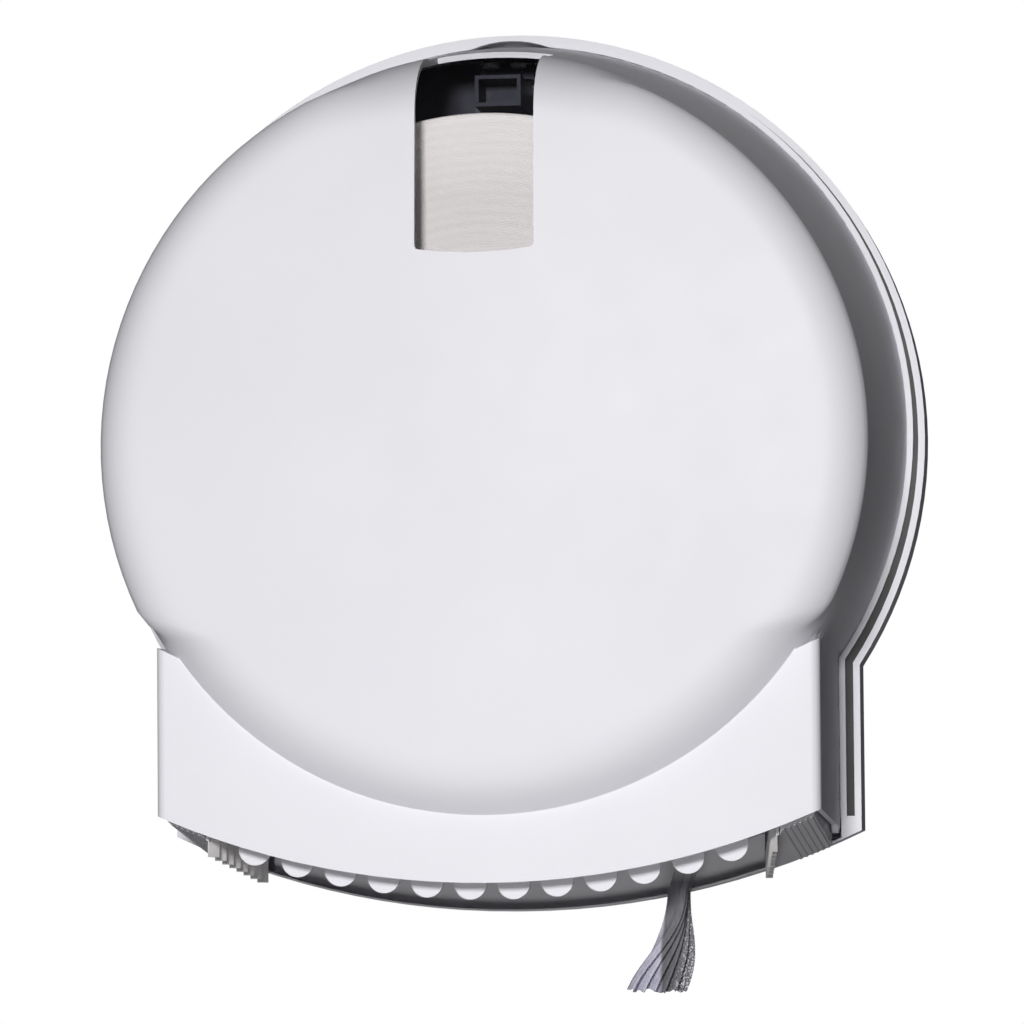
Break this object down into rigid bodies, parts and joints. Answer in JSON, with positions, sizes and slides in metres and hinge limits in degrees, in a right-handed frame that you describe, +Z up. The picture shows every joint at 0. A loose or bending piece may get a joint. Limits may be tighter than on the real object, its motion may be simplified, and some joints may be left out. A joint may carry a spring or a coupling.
{
  "type": "jumbo toilet roll dispenser",
  "caption": "Wall-mounted jumbo toilet roll dispenser: round white shell with a smoke window, toothed paper outlet below, and a cover that swings down on a lower hinge.",
  "frame": {"origin": "centre of the round back plate on the wall plane", "axes": "+X to the right seen from the room, +Y into the wall, +Z up"},
  "size_m": [0.36, 0.131, 0.4215],
  "materials": {
    "white_shell": "smooth moulded white plastic",
    "inner_plastic": "moulded white plastic",
    "tooth_plastic": "grey frosted plastic",
    "smoke_window": "clear smoke-grey plastic",
    "lock_plastic": "dark blue-black plastic",
    "latch_plastic": "dark grey plastic",
    "hub_plastic": "light grey plastic",
    "steel": "bright steel",
    "core_board": "brown board",
    "tissue": "soft white tissue with a faint pink tint"
  },
  "bodies": {
    "base": {"back_plate": "white_shell", "outlet_floor": "inner_plastic", "floor_screws": "steel", "tear_comb": "inner_plastic", "tear_rail": "inner_plastic", "tooth_strip_left": "tooth_plastic", "tooth_strip_right": "tooth_plastic", "strip_rivets": "inner_plastic", "hinge_pin_left": "steel", "hinge_pin_right": "steel", "spindle_post": "inner_plastic", "post_screws": "steel", "spindle_washer": "steel", "spindle_screw": "steel", "brake_spring": "steel", "brake_screw": "steel", "lock_housing": "lock_plastic", "lock_screws": "steel", "latch_spring": "steel", "paper_tail": "tissue"},
    "cover": {"front_cover": "white_shell", "window": "smoke_window", "cover_catch": "inner_plastic", "catch_stakes": "inner_plastic"},
    "latch": {"latch_slider": "latch_plastic"},
    "roll": {"roll_hub": "hub_plastic", "hub_cap": "hub_plastic", "roll_core": "core_board", "tissue_roll": "tissue"}
  },
  "joints": [
    {"name": "cover_hinge", "type": "hinge", "parent": "base", "child": "cover", "pos_m": [0, -0.026, -0.165], "axis": [1, 0, 0], "range_deg": [0, 75]},
    {"name": "roll_spin", "type": "hinge", "parent": "base", "child": "roll", "pos_m": [0, -0.057, 0.003], "axis": [0, 1, 0], "continuous": true},
    {"name": "latch_press", "type": "slide", "parent": "base", "child": "latch", "axis": [0, 0, -1], "range_m": [0, 0.0045], "stiffness_N_per_m": 400, "springref_m": -0.004, "deforming": ["latch_spring"]}
  ]
}
